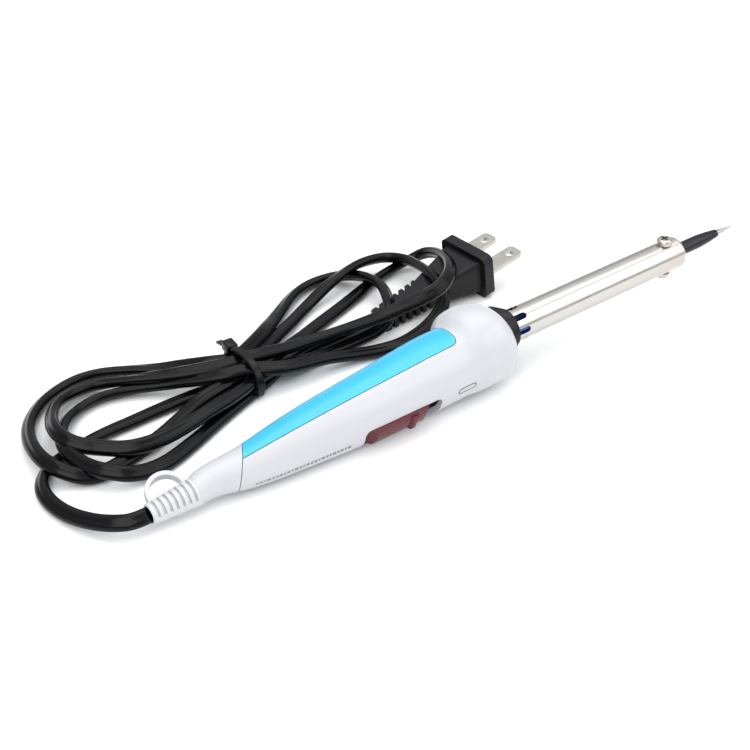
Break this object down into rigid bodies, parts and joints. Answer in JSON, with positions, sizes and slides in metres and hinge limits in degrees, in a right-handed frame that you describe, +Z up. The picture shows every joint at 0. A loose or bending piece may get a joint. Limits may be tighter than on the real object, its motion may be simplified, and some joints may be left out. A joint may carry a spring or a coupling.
{
  "type": "soldering iron",
  "caption": "Mains soldering iron with a tapered handle, power slider, vented barrel, exchangeable bit, and a folded lead with a two-blade plug.",
  "frame": {"origin": "on the table, under the middle of the iron's own box, without its lead and plug", "axes": "+X along the iron towards its tip, +Z up from the table, the folded lead lies on the +Y side"},
  "size_m": [0.2577, 0.0982, 0.0282],
  "materials": {
    "white_plastic": "satin moulded",
    "blue_plastic": "satin moulded",
    "white_rubber": "soft satin",
    "black_cord": "soft vinyl",
    "dark_plastic": "matte",
    "plated_steel": "plated",
    "maroon_plastic": "satin",
    "brass": "bare",
    "black_wire": "vinyl",
    "white_wire": "vinyl",
    "black_plastic": "heat resistant, satin",
    "nickel": "bright nickel",
    "bit_metal": "black-plated shank, tinned point",
    "mica": "mineral",
    "heater_wire": "drawn wire",
    "blue_sleeve": "glass-fibre braid",
    "black_nylon": "nylon",
    "black_plug": "soft vinyl"
  },
  "bodies": {
    "iron": {"handle_housing": "white_plastic", "back_cover": "blue_plastic", "rear_cone": "white_plastic", "strain_relief": "white_rubber", "cord_in_handle": "black_cord", "cord_clamp": "dark_plastic", "cord_clamp_screws": "plated_steel", "switch_body": "dark_plastic", "switch_terminals": "brass", "rectifier_diode": "dark_plastic", "live_conductor": "black_wire", "neutral_conductor": "white_wire", "switch_lead": "black_wire", "crimp_splices": "brass", "front_collar": "black_plastic", "barrel_tube": "nickel", "barrel_flange": "plated_steel", "flange_screws": "plated_steel", "bit_bush": "plated_steel", "heater_core": "plated_steel", "inner_mica_sleeve": "mica", "heater_winding": "heater_wire", "outer_mica_sleeve": "mica", "heater_leads": "heater_wire", "lead_sleeves": "blue_sleeve", "cord_tail": "black_cord", "cord_hank": "black_cord", "cable_tie": "black_nylon", "plug_body": "black_plug", "plug_blades": "nickel"},
    "slider": {"power_slider": "maroon_plastic", "switch_lever": "dark_plastic"},
    "bit": {"soldering_bit": "bit_metal"},
    "upper_screw": {"set_screw_upper": "nickel"},
    "lower_screw": {"set_screw_lower": "nickel"}
  },
  "joints": [
    {"name": "power_slide", "type": "slide", "parent": "iron", "child": "slider", "axis": [0.9989, 0, 0.0471], "range_m": [0, 0.0025]},
    {"name": "bit_pull", "type": "slide", "parent": "iron", "child": "bit", "axis": [0.9989, 0, 0.0471], "range_m": [0, 0.04]},
    {"name": "upper_screw_turn", "type": "hinge", "parent": "iron", "child": "upper_screw", "pos_m": [0.08493, 0.00141, 0.01841], "axis": [-0.0471, 0, 0.9989], "range_deg": [0, 720]},
    {"name": "lower_screw_turn", "type": "hinge", "parent": "iron", "child": "lower_screw", "pos_m": [0.08493, 0.00141, 0.01841], "axis": [0.0471, 0, -0.9989], "range_deg": [0, 720]}
  ]
}
